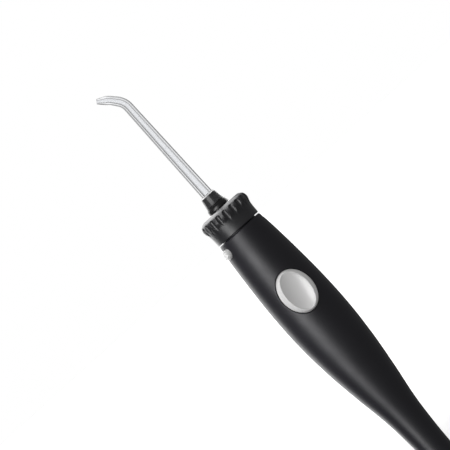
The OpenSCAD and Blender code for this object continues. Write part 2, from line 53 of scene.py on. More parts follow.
# ---- Dimensions, in millimetres, as in the CAD part
BODY_BASE = 4.0                         # the shells stand on the tail cap
BODY_TOP = 144.4
BODY_LEN = BODY_TOP - BODY_BASE
BODY_W, BODY_D = 30.6, 28.6
PALM_SWELL = 1.6                        # how far the middle is set back into the palm
TAIL_D, NECK_D = 14.4, 24.0
WALL = 1.8
RIB_ROOT = WALL * 0.6                   # depth below the skin at which ribs and bosses start
PAUSE_Z = 106.6
PAUSE_LEN, PAUSE_W = 22.1, 16.5
PAUSE_PROUD, PAUSE_DISH = 2.2, 1.5      # how far the button stands out, and its dish's depth
BUTTON_GAP = 0.25
WINDOW_LEN, WINDOW_W = PAUSE_LEN + 2 * BUTTON_GAP, PAUSE_W + 2 * BUTTON_GAP
EJECT_Z = BODY_TOP - 4.8
EJECT_D, EJECT_PROUD = 4.9, 2.4
EJECT_TURN = math.radians(22)
EJECT_POCKET, SPRING_SEAT = 11.4, 6.9   # the spring's two ends, counted out from the middle
COLLAR_R = 13.2
FLUTES, FLUTE_R = 20, 1.35
FLUTE_PHASE = 0.8                       # where the first flute stands, in flute spacings
COLLAR_BASE = BODY_TOP + 0.5
COLLAR_TOP = BODY_TOP + 13.1
HUB_BASE = BODY_TOP - 1.2
TIP_FLANGE_Z = COLLAR_TOP + 0.15
RING_Z = TIP_FLANGE_Z + 0.3
RING_H = 2.8
CONE_Z = RING_Z + RING_H + 0.1
CONE_TOP = TIP_FLANGE_Z + 8.75
TUBE_LEN = 53.2
TUBE_DEPTH = 6.3                        # how far the clear tube runs down inside the cone
BEND_Z = CONE_TOP + TUBE_LEN
TUBE_R, BEND_R, MID_R, OUTLET_R = 2.9, 2.35, 2.15, 1.15     # outside, from foot to outlet
BORE_R, BEND_BORE, MID_BORE, OUTLET_BORE = 1.4, 0.95, 0.85, 0.45
ELBOW, ARCH = 8.0, 10.0                 # radii of the nozzle's two bends
ARCH_TURN, NOSE_TURN = 15.0, 55.0       # degrees turned by the second bend, and by both
NOSE_ROOT, NOSE_END = 2.8, 4.5          # the straight run after each bend
SHANK_R, SHANK_BASE, GROOVE_R, GROOVE_H = 3.4, BODY_TOP - 13.2, 2.5, 1.6
TUNNEL_END_Y, SKIRT_Y, BOSS_END_Y = -8.5, -8.7, -7.5    # how deep the pause button's parts go

# The handle's outline: share of its height, then how far half-width, half-depth and the palm's
# swell have gone from the straight taper (0) to their fullest (1)
OUTLINE = [
    (0.00, 0.00, 0.00, 0.00),
    (0.10, 0.00, 0.00, 0.05),
    (0.215, 0.11, 0.11, 0.25),
    (0.34, 0.45, 0.42, 0.60),
    (0.47, 0.79, 0.76, 0.90),
    (0.60, 0.99, 0.97, 1.00),
    (0.73, 0.955, 1.00, 0.80),
    (0.855, 0.69, 0.72, 0.35),
    (0.95, 0.325, 0.33, 0.05),
    (1.00, 0.00, 0.00, 0.00)]
SKIN_IN = 0.05                          # keeps the smooth skin inside the CAD's faceted one


def tangent(i, k):
    a, b = max(i - 1, 0), min(i + 1, len(OUTLINE) - 1)
    return (OUTLINE[b][k] - OUTLINE[a][k]) / (OUTLINE[b][0] - OUTLINE[a][0])


def column(h, k):
    """The smooth curve through column k of the outline table, at height share h"""
    i = 0
    while i < len(OUTLINE) - 2 and h > OUTLINE[i + 1][0]:
        i += 1
    p, q = OUTLINE[i], OUTLINE[i + 1]
    d = q[0] - p[0]
    u = (h - p[0]) / d
    return ((2 * u**3 - 3 * u**2 + 1) * p[k] + (u**3 - 2 * u**2 + u) * tangent(i, k) * d
            + (3 * u**2 - 2 * u**3) * q[k] + (u**3 - u**2) * tangent(i + 1, k) * d)


def section(z):
    """Half-width, half-depth and centre offset of the handle's outside at height z"""
    h = (z - BODY_BASE) / BODY_LEN
    r = TAIL_D / 2 + (NECK_D - TAIL_D) / 2 * h
    return (r + (BODY_W / 2 - r) * column(h, 1) - SKIN_IN,
            r + (BODY_D / 2 - r) * column(h, 2) - SKIN_IN,
            PALM_SWELL * column(h, 3))


def skin_y(x, z, side, inset=0.0):
    """Where the skin is at (x, z), on the front (side -1) or the back (side 1)"""
    w, d, c = section(z)
    return c + side * (d - inset) * math.sqrt(max(0.0, 1 - (x / (w - inset)) ** 2))


BUTTON_TOP_Y = skin_y(0, PAUSE_Z, -1) - SKIN_IN - PAUSE_PROUD
EJECT_FACE = section(EJECT_Z)[0] + SKIN_IN
EJECT_FLANGE = EJECT_FACE - WALL - 0.7


# ---- Mesh building, in millimetres
def circle(r, n):
    """n points round a circle about the origin"""
    return [(r * math.cos(2 * math.pi * i / n), r * math.sin(2 * math.pi * i / n))
            for i in range(n)]


def oval(length, width, n=96):
    """n (x, z) points round an upright oval"""
    return [(width / 2 * math.cos(2 * math.pi * i / n), length / 2 * math.sin(2 * math.pi * i / n))
            for i in range(n)]


def quarter_turn(steps, first=0):
    """Angles from 0 to a right angle, leaving out the steps before the first"""
    return [math.pi / 2 * k / steps for k in range(first, steps + 1)]


class Shape:
    """Closed pieces gathered into one mesh"""

    def __init__(self):
        self.verts = []
        self.faces = []

    def rows(self, rows, wrap=True, closed=False, caps=True):
        """Quads between rows of points; wrap joins a row's ends, closed joins last row to first"""
        n, base = len(rows[0]), len(self.verts)
        for row in rows:
            self.verts.extend(Vector(p) for p in row)
        last = len(rows) if closed else len(rows) - 1
        for q in range(last):
            a, b = base + q * n, base + (q + 1) % len(rows) * n
            for i in range(n if wrap else n - 1):
                m = (i + 1) % n
                self.faces.append((a + i, a + m, b + m, b + i))
        if caps and not closed:
            self.faces.append(tuple(base + i for i in reversed(range(n))))
            self.faces.append(tuple(base + (len(rows) - 1) * n + i for i in range(n)))
        return self

    def lathe(self, profile, n=96, place=None, closed=False):
        """Turns (radius, height) points about Z, then moves them by place"""
        place = place or Matrix.Identity(4)
        return self.rows([[place @ Vector((x, y, h)) for x, y in circle(r, n)]
                          for r, h in profile], closed=closed)

    def box(self, low, high):
        (x0, y0, z0), (x1, y1, z1) = low, high
        return self.rows([[(x0, y0, z), (x1, y0, z), (x1, y1, z), (x0, y1, z)] for z in (z0, z1)])

    def add(self, other):
        base = len(self.verts)
        self.verts.extend(other.verts)
        self.faces.extend(tuple(base + i for i in f) for f in other.faces)
        return self

    def mesh(self, name):
        me = bpy.data.meshes.new(name)
        me.from_pydata([v * MM for v in self.verts], [], self.faces)
        bm = bmesh.new()
        bm.from_mesh(me)
        bmesh.ops.recalc_face_normals(bm, faces=bm.faces)
        bm.to_mesh(me)
        bm.free()
        return me


def along_x(at=(0, 0, 0)):
    return Matrix.Translation(at) @ Matrix.Rotation(math.pi / 2, 4, "Y")


def along_y(at=(0, 0, 0)):
    return Matrix.Translation(at) @ Matrix.Rotation(-math.pi / 2, 4, "X")


def at_eject(x=0.0):
    """The eject button's axis: heights run inwards through the handle, zero at x off its middle"""
    return Matrix.Rotation(EJECT_TURN, 4, "Z") @ along_x((x, 0, EJECT_Z))


def curve_through(points, steps):
    """Catmull-Rom curve through (r, z) points"""
    out = []
    for i in range(len(points) - 1):
        p0, p1 = points[max(i - 1, 0)], points[i]
        p2, p3 = points[i + 1], points[min(i + 2, len(points) - 1)]
        for k in range(steps):
            t = k / steps
            out.append(tuple(0.5 * (2 * b + (c - a) * t + (2 * a - 5 * b + 4 * c - d) * t * t
                                    + (3 * b - a - 3 * c + d) * t**3)
                             for a, b, c, d in zip(p0, p1, p2, p3)))
    return out + [points[-1]]


def shade(obj, degrees):
    """Smooth shading, broken at edges sharper than the angle"""
    bm = bmesh.new()
    bm.from_mesh(obj.data)
    limit = math.radians(degrees)
    for f in bm.faces:
        f.smooth = True
    for e in bm.edges:
        e.smooth = len(e.link_faces) == 2 and e.calc_face_angle(0.0) < limit
    bm.to_mesh(obj.data)
    bm.free()


def carve(obj, cutter):
    """Cuts a closed shape out of the object"""
    tool = bpy.data.objects.new("cutter", cutter.mesh("cutter"))
    bpy.context.scene.collection.objects.link(tool)
    mod = obj.modifiers.new("cut", "BOOLEAN")
    mod.operation = "DIFFERENCE"
    mod.solver = "EXACT"
    mod.object = tool
    deps = bpy.context.evaluated_depsgraph_get()
    cut = bpy.data.meshes.new_from_object(obj.evaluated_get(deps))
    obj.modifiers.clear()
    obj.data = cut
    bpy.data.objects.remove(tool)


def make(name, shape, body, slot, node_name, degrees=32, cutters=()):
    """One visible piece that stands for a CAD node"""
    obj = bpy.data.objects.new(name, shape.mesh(name))
    bpy.context.scene.collection.objects.link(obj)
    for cutter in cutters:
        carve(obj, cutter)
    obj.data.materials.clear()
    obj.data.materials.append(SLOT_LOOKS[slot])
    shade(obj, degrees)
    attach(obj, body)
    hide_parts(node_name)
    return obj


# ---- Materials
def new_material(name):
    mat = bpy.data.materials.new(name)
    mat.use_nodes = True
    tree = mat.node_tree
    return mat, tree, tree.nodes["Principled BSDF"]


def feed(tree, n, inputs):
    """Gives a node's inputs their values, or links them where the value is a socket"""
    for key, value in inputs.items():
        if isinstance(value, bpy.types.NodeSocket):
            tree.links.new(value, n.inputs[key])
        else:
            n.inputs[key].default_value = value


def node(tree, kind, inputs=None, **settings):
    n = tree.nodes.new(kind)
    for key, value in settings.items():
        setattr(n, key, value)
    feed(tree, n, inputs or {})
    return n


def noise(tree, scale, detail=3.0, rough=0.5, stretch=None):
    """Noise in the object's own metres; stretch scales the three axes"""
    place = node(tree, "ShaderNodeTexCoord").outputs["Object"]
    if stretch:
        mapping = node(tree, "ShaderNodeMapping", {"Vector": place, "Scale": stretch})
        place = mapping.outputs["Vector"]
    return node(tree, "ShaderNodeTexNoise", {
        "Vector": place, "Scale": scale, "Detail": detail, "Roughness": rough}).outputs["Fac"]


def span(tree, value, low, high, start=0.3, end=0.7):
    """Maps a pattern's middle, from start to end, to the range low to high"""
    return node(tree, "ShaderNodeMapRange", {
        "Value": value, "From Min": start, "From Max": end,
        "To Min": low, "To Max": high}).outputs["Result"]


def blend(tree, factor, a, b):
    """Mixes two colours, each a triple or a socket"""
    a, b = [(*c, 1) if isinstance(c, (tuple, list)) else c for c in (a, b)]
    mix = node(tree, "ShaderNodeMix", {"Factor": factor, "A": a, "B": b}, data_type="RGBA")
    return mix.outputs["Result"]


def bump(tree, shader, layers):
    """Stacks (height, strength, distance in mm) layers into the shader's normal"""
    normal = {}
    for height, strength, distance in layers:
        layer = node(tree, "ShaderNodeBump", {
            "Height": height, "Strength": strength, "Distance": distance * MM, **normal})
        normal = {"Normal": layer.outputs["Normal"]}
    feed(tree, shader, normal)


def plastic(name, dark, light, rough, grain, grain_depth, coat=0.0, wear_and_highlight=None):
    """Moulded plastic: fine surface grain, faint flow marks, handling smudges, and sharp edges
    lightened as part wear, part painted highlight
    """
    mat, tree, shader = new_material(name)
    fine = noise(tree, grain, 2.0, 0.6)
    flow = noise(tree, 60, 3.0, 0.5, (1, 1, 0.35))
    smudge = noise(tree, 130, 4.0, 0.6)
    colour = blend(tree, span(tree, flow, 0, 1), dark, light)
    # Sharp convex edges are made lighter, partly as wear and partly as a painted highlight standing
    # in for the shine on the collar's bevel and flute ridges
    if wear_and_highlight:
        worn_highlight_colour, amount = wear_and_highlight
        sharpness = node(tree, "ShaderNodeNewGeometry").outputs["Pointiness"]
        colour = blend(tree, span(tree, sharpness, 0, amount, 0.53, 0.6), colour, worn_highlight_colour)
    feed(tree, shader, {"Base Color": colour, "Roughness": span(tree, smudge, *rough)})
    if coat:
        feed(tree, shader, {"Coat Weight": coat, "Coat Roughness": 0.2})
    bump(tree, shader, [(flow, 0.12, 0.05), (fine, 0.35, grain_depth)])
    return mat


def metal(name, colour, rough, stretch):
    """Drawn wire, its grain stretched along one axis"""
    mat, tree, shader = new_material(name)
    drawn = noise(tree, 900, 4.0, 0.6, stretch)
    tone = noise(tree, 300, 2.0)
    feed(tree, shader, {"Base Color": blend(tree, tone, [c * 0.8 for c in colour], colour),
                        "Roughness": span(tree, drawn, *rough), "Metallic": 1.0})
    bump(tree, shader, [(drawn, 0.2, 0.01)])
    return mat


def rubber(name, dark, light, rough):
    """Matt rubber with a little dust"""
    mat, tree, shader = new_material(name)
    fine = noise(tree, 2500, 3.0)
    dust = noise(tree, 200, 4.0, 0.7)
    feed(tree, shader, {"Base Color": blend(tree, span(tree, dust, 0, 1), dark, light),
                        "Roughness": span(tree, fine, *rough)})
    bump(tree, shader, [(fine, 0.3, 0.02)])
    return mat


def clear_plastic(name):
    """Polished clear plastic with a faint drift of tint and shallow drawing marks along the tube"""
    mat, tree, shader = new_material(name)
    marks = noise(tree, 60, 0.0, 0.4, (1, 1, 0.1))
    tint = noise(tree, 90, 2.0)
    feed(tree, shader, {
        "Base Color": blend(tree, tint, (0.82, 0.828, 0.842), (0.852, 0.858, 0.87)),
        "Roughness": 0.0, "Transmission Weight": 1.0, "IOR": 1.57})
    bump(tree, shader, [(marks, 0.02, 0.002)])
    return mat


SLOT_LOOKS = {
    "body_black": plastic("satin_black", (0.0150, 0.0144, 0.0196), (0.0175, 0.0169, 0.0228),
                          (0.40, 0.46), 3800, 0.02),
    # The collar's lightened sharp edges are part wear, part painted highlight on its bevel and
    # flute ridges
    "collar_black": plastic("collar_black", (0.0105, 0.0105, 0.0120), (0.0135, 0.0135, 0.0152),
                            (0.33, 0.40), 4200, 0.012, wear_and_highlight=((0.06, 0.06, 0.063), 0.5)),
    "tip_black": plastic("tip_black", (0.009, 0.009, 0.010), (0.014, 0.014, 0.015),
                         (0.28, 0.36), 4500, 0.01),
    "pause_grey": plastic("button_grey", (0.79, 0.785, 0.78), (0.83, 0.825, 0.82),
                          (0.30, 0.38), 4200, 0.015, coat=0.3),
    "eject_white": plastic("eject_white", (0.84, 0.84, 0.835), (0.88, 0.88, 0.875),
                           (0.28, 0.36), 4200, 0.015),
    "nylon_grey": plastic("acetal_grey", (0.48, 0.49, 0.49), (0.58, 0.59, 0.58),
                          (0.38, 0.48), 3000, 0.02),
    "nylon_white": plastic("acetal_white", (0.68, 0.68, 0.65), (0.76, 0.76, 0.73),
                           (0.36, 0.46), 3000, 0.02),
    "inner_black": plastic("nylon_black", (0.02, 0.02, 0.022), (0.035, 0.035, 0.037),
                           (0.42, 0.52), 2200, 0.03),
    "seal_rubber": rubber("seal_rubber", (0.012, 0.012, 0.012), (0.03, 0.03, 0.03), (0.5, 0.65)),
    "hose_silicone": rubber("silicone_tube", (0.50, 0.53, 0.54), (0.62, 0.65, 0.66), (0.38, 0.5)),
    "steel": metal("stainless", (0.62, 0.62, 0.63), (0.2, 0.36), (1, 1, 0.2)),
    "tip_clear": clear_plastic("clear_plastic")}

# ---- Handle shells
SEAM_W, SEAM_DEPTH = 0.28, 0.14         # the fine groove where the two shells meet
SEAM_STEPS = 4
MEAN_R = 11                             # the handle's rough radius, to space the seam's points
WINDOW_EDGE_R = 0.35                    # rounding of the pause button's window
HOLE_EDGE_R = 0.25                      # rounding of the eject button's hole
TAIL_EDGE_R, TOP_EDGE_R = 0.15, 0.6     # rounding of the shells' two ends
OVERCUT = 0.02                          # how far a cutter starts outside the skin
TUNNEL_WALL, TUNNEL_ROOT = 1.25, WALL * 0.7
BOSS_BORE, BOSS_R, BOSS_TIP_Y, BOSS_X = 1.05, 2.4, 5.05, 8
HALF_STEPS = 40                         # steps round half a rib or half the lip

# Ribs across both shells: height, thickness, radius of the opening
RIBS = [(14.7, 1.2, 4.7), (18.7, 1.2, 4.5), (38, 1.4, 5), (62, 1.4, 5),
        (BODY_TOP - 19.6, 1.3, 6.4), (BODY_TOP - 16.1, 1.3, 6.4)]

# The lip round the neck, inside the collar's skirt: radius, height
LIP_IN, LIP_OUT, LIP_ROOT = 8, 9.6, NECK_D / 2 - 1.0
LIP = [(LIP_IN, BODY_TOP - 1.4), (LIP_ROOT, BODY_TOP - 1.4), (LIP_ROOT, BODY_TOP - 0.2),
       (LIP_OUT, BODY_TOP - 0.2), (LIP_OUT, BODY_TOP + 0.9), (9.5, BODY_TOP + 1.0),
       (8.4, BODY_TOP + 1.0), (LIP_IN, BODY_TOP - 0.2)]


def arc_stops(n):
    """Shares round one half: close together at both ends, for the seam's rounded edges"""
    ends = [SEAM_W * k / SEAM_STEPS / (math.pi * MEAN_R) for k in range(SEAM_STEPS + 1)]
    body = [ends[-1] + (1 - 2 * ends[-1]) * k / n for k in range(1, n)]
    return ends + body + [1 - e for e in reversed(ends)]


def skin(z, side, u, inset, seam=True):
    """The point at share u round one half's outline at height z, sunk by inset and the seam"""
    w, d, c = section(z)
    w, d = w - inset, d - inset
    t0 = math.asin(-side * c / d)
    t = t0 + (math.pi - 2 * t0) * u
    if seam:
        s = min(u, 1 - u) * (math.pi - 2 * t0) * w
        if s < SEAM_W:
            cut = SEAM_DEPTH * (1 - s / SEAM_W) ** 2
            w, d = w - cut, d - cut
    return Vector((w * math.cos(t), c + side * d * math.sin(t), z))


def end_rounding(z0, z1, n, r0, r1):
    """Heights with the inset that rounds off the outer edge at either end"""
    stops = [(z0 + r0 * (1 - math.cos(a)), r0 * (1 - math.sin(a))) for a in quarter_turn(4)]
    stops += [(z0 + r0 + (z1 - r1 - z0 - r0) * k / n, 0.0) for k in range(1, n)]
    stops += [(z1 - r1 + r1 * math.sin(a), r1 * (1 - math.cos(a))) for a in quarter_turn(4)]
    return stops


def half_ring(rows):
    """A closed piece whose rows run round the outside of one half and back along its inside"""
    shape = Shape().rows(rows, caps=False)
    m = len(rows[0])
    for base in (0, (len(rows) - 1) * m):
        for i in range(m // 2 - 1):
            shape.faces.append((base + i, base + i + 1, base + m - 2 - i, base + m - 1 - i))
    return shape


def half_skin(side):
    stops = arc_stops(64)
    rows = []
    for z, inset in end_rounding(BODY_BASE, BODY_TOP, 200, TAIL_EDGE_R, TOP_EDGE_R):
        outer = [skin(z, side, u, inset) for u in stops]
        inner = [skin(z, side, u, WALL, seam=False) for u in reversed(stops)]
        rows.append(outer + inner)
    return half_ring(rows)


def half_circle(r, side, z):
    return [Vector((r * math.cos(math.pi * k / HALF_STEPS),
                    side * r * math.sin(math.pi * k / HALF_STEPS), z))
            for k in range(HALF_STEPS + 1)]


def half_plate(side, z0, z1, hole_r):
    """A rib across one half, from the shell's wall to a round opening"""
    rows = []
    for z in (z0, z1):
        outer = [skin(z, side, k / HALF_STEPS, RIB_ROOT, seam=False)
                 for k in range(HALF_STEPS + 1)]
        rows.append(outer + half_circle(hole_r, side, z)[::-1])
    return half_ring(rows)


def half_lip(side):
    lip = Shape().rows([half_circle(r, side, z) for r, z in LIP], wrap=False, closed=True)
    for k in (0, HALF_STEPS):
        lip.faces.append(tuple(q * (HALF_STEPS + 1) + k for q in range(len(LIP))))
    return lip


def button_tunnel():
    """An upright oval tube round the pause button, its outer end on the inside of the shell"""
    rows = []
    for grow, end_y in ((0, None), (TUNNEL_WALL, None), (TUNNEL_WALL, TUNNEL_END_Y),
                        (0, TUNNEL_END_Y)):
        rows.append([(x, end_y or skin_y(x, PAUSE_Z + z, -1, TUNNEL_ROOT), PAUSE_Z + z)
                     for x, z in oval(WINDOW_LEN + 2 * grow, WINDOW_W + 2 * grow)])
    return Shape().rows(rows, closed=True)


def screw_boss(x, n=32):
    """A hollow boss of the back shell, its root following the inside of the wall"""
    rows = []
    for r, end_y in ((BOSS_BORE, BOSS_TIP_Y), (BOSS_R, BOSS_TIP_Y), (BOSS_R, None),
                     (BOSS_BORE, None)):
        rows.append([(x + dx, end_y or skin_y(x + dx, PAUSE_Z + dz, 1, RIB_ROOT), PAUSE_Z + dz)
                     for dx, dz in circle(r, n)])
    return Shape().rows(rows, closed=True)


def window_cutter():
    """The pause button's window, its outer edge rounded where it meets the skin"""
    in_front, inside = -20, -6
    rows = [[(x, in_front, PAUSE_Z + z)
             for x, z in oval(WINDOW_LEN + 2 * WINDOW_EDGE_R, WINDOW_W + 2 * WINDOW_EDGE_R)]]
    for a in quarter_turn(5):
        grow = WINDOW_EDGE_R * (1 - math.sin(a))
        sink = WINDOW_EDGE_R * (1 - math.cos(a)) if a else -OVERCUT
        rows.append([(x, skin_y(x, PAUSE_Z + z, -1) + sink, PAUSE_Z + z)
                     for x, z in oval(WINDOW_LEN + 2 * grow, WINDOW_W + 2 * grow)])
    rows.append([(x, inside, PAUSE_Z + z) for x, z in oval(WINDOW_LEN, WINDOW_W)])
    return Shape().rows(rows)


def eject_cutter():
    """The eject button's round hole, its outer edge rounded where it meets the skin"""
    r = EJECT_D / 2 + 0.2
    outside, depth = -16, 4
    cos_t, sin_t = math.cos(EJECT_TURN), math.sin(EJECT_TURN)

    def reach(across, z):
        """Distance along the button's axis to the skin, at a sideways offset from the axis"""
        w, d, c = section(z)
        qa = (cos_t / w) ** 2 + (sin_t / d) ** 2
        qb = 2 * ((across * cos_t - c) * sin_t / d**2 - across * sin_t * cos_t / w**2)
        qc = (across * sin_t / w) ** 2 + ((across * cos_t - c) / d) ** 2 - 1
        return (-qb - math.sqrt(qb * qb - 4 * qa * qc)) / (2 * qa)

    def ring(radius, sink):
        row = []
        for across, up in circle(radius, 64):
            z = EJECT_Z + up
            x = outside if sink is None else reach(across, z) + sink
            row.append((x * cos_t - across * sin_t, x * sin_t + across * cos_t, z))
        return row
    rows = [ring(r + HOLE_EDGE_R, None), ring(r + HOLE_EDGE_R, -OVERCUT)]
    for a in quarter_turn(4, 1):
        rows.append(ring(r + HOLE_EDGE_R * (1 - math.sin(a)), HOLE_EDGE_R * (1 - math.cos(a))))
    rows.append(ring(r, depth))
    return Shape().rows(rows)


def shell_fittings(side):
    """Ribs, the lip round the neck, and the front's button tunnel or the back's screw bosses"""
    shape = Shape()
    for z, thick, hole_r in RIBS:
        shape.add(half_plate(side, z, z + thick, hole_r))
    shape.add(half_lip(side))
    if side < 0:
        return shape.add(button_tunnel())
    return shape.add(screw_boss(-BOSS_X)).add(screw_boss(BOSS_X))


make("front_shell_skin", half_skin(-1), "handle", "body_black", "front_shell",
     cutters=[window_cutter(), eject_cutter()])
make("back_shell_skin", half_skin(1), "handle", "body_black", "back_shell")
make("front_shell_ribs", shell_fittings(-1), "handle", "body_black", "front_shell")
make("back_shell_ribs", shell_fittings(1), "handle", "body_black", "back_shell")

# ---- Pause button
FLANK, FLANK_H = 1.8, 3.0               # how far the sides lean in, and over what height
CREST, CREST_H = 0.25, 0.2              # rounding from the side up to the rim
END_LEAN = 0.4                          # share of the lean at the long oval's two ends
STEP_RUN, STEP_DROP = 0.35, 0.14        # soft step from the rim down into the dish
DISH_POWER = 2.2
CAP_WALL = 1.5                          # wall round the hollow underside
STEM_R, STEM_BORE = 3.3, 1.85           # the boss that holds the plunger
TAB_HALF_W = 2.5                        # the tabs that keep the button in its tunnel


def button_shape():
    a, b = PAUSE_LEN / 2, PAUSE_W / 2
    rim_a, rim_b = a - END_LEAN * FLANK - CREST, b - FLANK - CREST
    rows = []

    def ring(la, lb, y):
        rows.append([(lb * c, y, PAUSE_Z + la * s) for c, s in circle(1, 160)])
    ring(a, b, SKIRT_Y)
    for k in range(13):
        t = k / 12
        lean = FLANK * (0.4 * t + 0.6 * t * t)
        ring(a - END_LEAN * lean, b - lean, BUTTON_TOP_Y + CREST_H + FLANK_H * (1 - t))
    for t in quarter_turn(5, 1):
        back = CREST * (1 - math.cos(t))
        ring(a - END_LEAN * FLANK - back, b - FLANK - back,
             BUTTON_TOP_Y + CREST_H * (1 - math.sin(t)))
    for t in quarter_turn(4, 1):
        run = STEP_RUN * math.sin(t)
        ring(rim_a - run, rim_b - run, BUTTON_TOP_Y + STEP_DROP * (1 - math.cos(t)))
    for k in range(1, 25):
        t = 1 - k / 25
        ring((rim_a - STEP_RUN) * t, (rim_b - STEP_RUN) * t,
             BUTTON_TOP_Y + STEP_DROP + (PAUSE_DISH - STEP_DROP) * (1 - t**DISH_POWER))
    return Shape().rows(rows)


def button_under():
    """The button's hollow underside"""
    rows = [[(x, y, PAUSE_Z + z) for x, z in oval(PAUSE_LEN - 2 * CAP_WALL, PAUSE_W - 2 * CAP_WALL)]
            for y in (SKIRT_Y + 1, BUTTON_TOP_Y + 3.6)]
    return Shape().rows(rows)


def button_fittings():
    """The plunger's boss, and at either end a block and the tab that catches the tunnel's end"""
    shape = Shape().lathe([(STEM_BORE, -12.0), (STEM_R, BUTTON_TOP_Y + 3.2),
                           (STEM_R, BOSS_END_Y), (STEM_BORE, BOSS_END_Y)], 48,
                          along_y((0, 0, PAUSE_Z)), closed=True)
    root, wall, catch = PAUSE_LEN / 2 - 1.6, PAUSE_LEN / 2 - 0.3, PAUSE_LEN / 2 + 0.9
    for side in (-1, 1):
        for end, y0, y1 in ((wall, SKIRT_Y - 0.5, SKIRT_Y + 1.4),
                            (catch, TUNNEL_END_Y + 0.2, TUNNEL_END_Y + 1.2)):
            za, zb = sorted((PAUSE_Z + side * root, PAUSE_Z + side * end))
            shape.box((-TAB_HALF_W, y0, za), (TAB_HALF_W, y1, zb))
    return shape


BUTTON = make("pause_button_cap", button_shape(), "pause", "pause_grey", "pause_button",
              degrees=50, cutters=[button_under()])
make("pause_button_boss", button_fittings(), "pause", "pause_grey", "pause_button")


# ---- Eject button
def eject_shape():
    """A domed button with a flange that keeps it in, hollow for its spring"""
    r, face = EJECT_D / 2, -(EJECT_FACE + EJECT_PROUD)
    flange_r, bore, centre = 3.3, 1.95, 0.02
    profile = [(centre, face)]
    for t in quarter_turn(12, 1):
        profile.append((r * 0.93 * math.sin(t) ** 0.9, face + 1.15 * (1 - math.cos(t))))
    inner = 0.7 - EJECT_FLANGE
    profile += [(r - 0.06, face + 1.28), (r, face + 1.42), (r, -EJECT_FLANGE),
                (flange_r, -EJECT_FLANGE), (flange_r, inner), (bore, inner),
                (bore, -EJECT_POCKET), (centre, -EJECT_POCKET)]
    return Shape().lathe(profile, 64, at_eject())


EJECT = make("eject_button_cap", eject_shape(), "eject", "eject_white", "eject_button", degrees=40)

# ---- Collar
FLUTE_STEPS = 36                        # points round the collar for each flute
FLUTE_CENTRE = COLLAR_R + 0.4           # radius on which the flutes' rods stand
FLUTE_DOME_Z = COLLAR_TOP - 2.3         # above this the rods end in domes
FLUTE_BASE_Z = COLLAR_BASE + 4
FLUTE_SOFT = 0.006                      # softens a flute's edges
HUB_R, HUB_BORE, SOCKET_R, SOCKET_Z = 6, SHANK_R + 0.3, 4.75, BODY_TOP + 5.2
RECESS_R, SKIRT_R = 8.3, 10

# The collar's outline, from its skirt up to its rim: (inwards from its radius, height)
COLLAR_SIDE = [(COLLAR_R - inset, z) for inset, z in (
    (1.2, COLLAR_BASE + 0.35), (1.18, COLLAR_BASE + 1.2), (1.15, COLLAR_BASE + 2.5),
    (1.02, COLLAR_BASE + 4.6), (0.8, COLLAR_BASE + 6.1), (0.48, COLLAR_BASE + 7.1),
    (0.16, COLLAR_BASE + 8.1), (0.03, COLLAR_BASE + 9.1), (0.16, COLLAR_TOP - 2.5))]
COLLAR_BEVEL = [(COLLAR_R - inset, COLLAR_TOP - down) for inset, down in (
    (0.16, 2.5), (0.32, 2.0), (0.57, 1.5), (0.92, 1.1), (1.32, 0.8), (1.77, 0.5), (2.22, 0.22),
    (2.5, 0.09), (2.8, 0))]


def collar_shape():
    outside = [(COLLAR_R - 1.5, COLLAR_BASE), (COLLAR_R - 1.32, COLLAR_BASE + 0.04),
               (COLLAR_R - 1.22, COLLAR_BASE + 0.16)]
    outside += curve_through(COLLAR_SIDE, 8)[:-1] + curve_through(COLLAR_BEVEL, 5)
    inside = [(RECESS_R, COLLAR_TOP), (SOCKET_R, COLLAR_TOP), (SOCKET_R, SOCKET_Z),
              (HUB_BORE, SOCKET_Z), (HUB_BORE, HUB_BASE), (HUB_R, HUB_BASE),
              (HUB_R, COLLAR_TOP - 2.6), (RECESS_R, COLLAR_TOP - 2.6),
              (RECESS_R, COLLAR_BASE + 3.4), (SKIRT_R, COLLAR_BASE + 1.4), (SKIRT_R, COLLAR_BASE)]
    cols = FLUTES * FLUTE_STEPS
    rows = []
    for r, z in outside + inside:
        row = []
        for i in range(cols):
            t = 2 * math.pi * i / cols
            share = (t * FLUTES / (2 * math.pi) - FLUTE_PHASE + 0.5) % 1 - 0.5
            off = FLUTE_CENTRE * math.sin(share * 2 * math.pi / FLUTES)
            rr = r
            reach = FLUTE_R**2 - max(0.0, z - FLUTE_DOME_Z) ** 2 - off**2
            if reach > 0 and z > FLUTE_BASE_Z and r > SKIRT_R + 0.2:
                floor_r = FLUTE_CENTRE * math.cos(share * 2 * math.pi / FLUTES) - math.sqrt(reach)
                gap = r - floor_r
                rr = r - (gap + math.sqrt(gap * gap + FLUTE_SOFT)) / 2
            row.append((rr * math.cos(t), rr * math.sin(t), z))
        rows.append(row)
    return Shape().rows(rows, closed=True)


COLLAR = make("rotation_collar_rim", collar_shape(), "collar", "collar_black", "rotation_collar",
              degrees=38)

# ---- Jet tip
CONE_RIBS, CONE_RIB_DEPTH = 12, 0.06
CONE_SIDE_TOP = CONE_TOP - 0.9
CONE_SIDE = [(4.85, CONE_Z + 0.16), (4.79, CONE_Z + 0.4), (4.66, CONE_Z + 1.15),
             (4.49, CONE_Z + 2.15), (4.32, CONE_Z + 3.15), (4.15, CONE_Z + 4.15),
             (4.03, CONE_SIDE_TOP)]


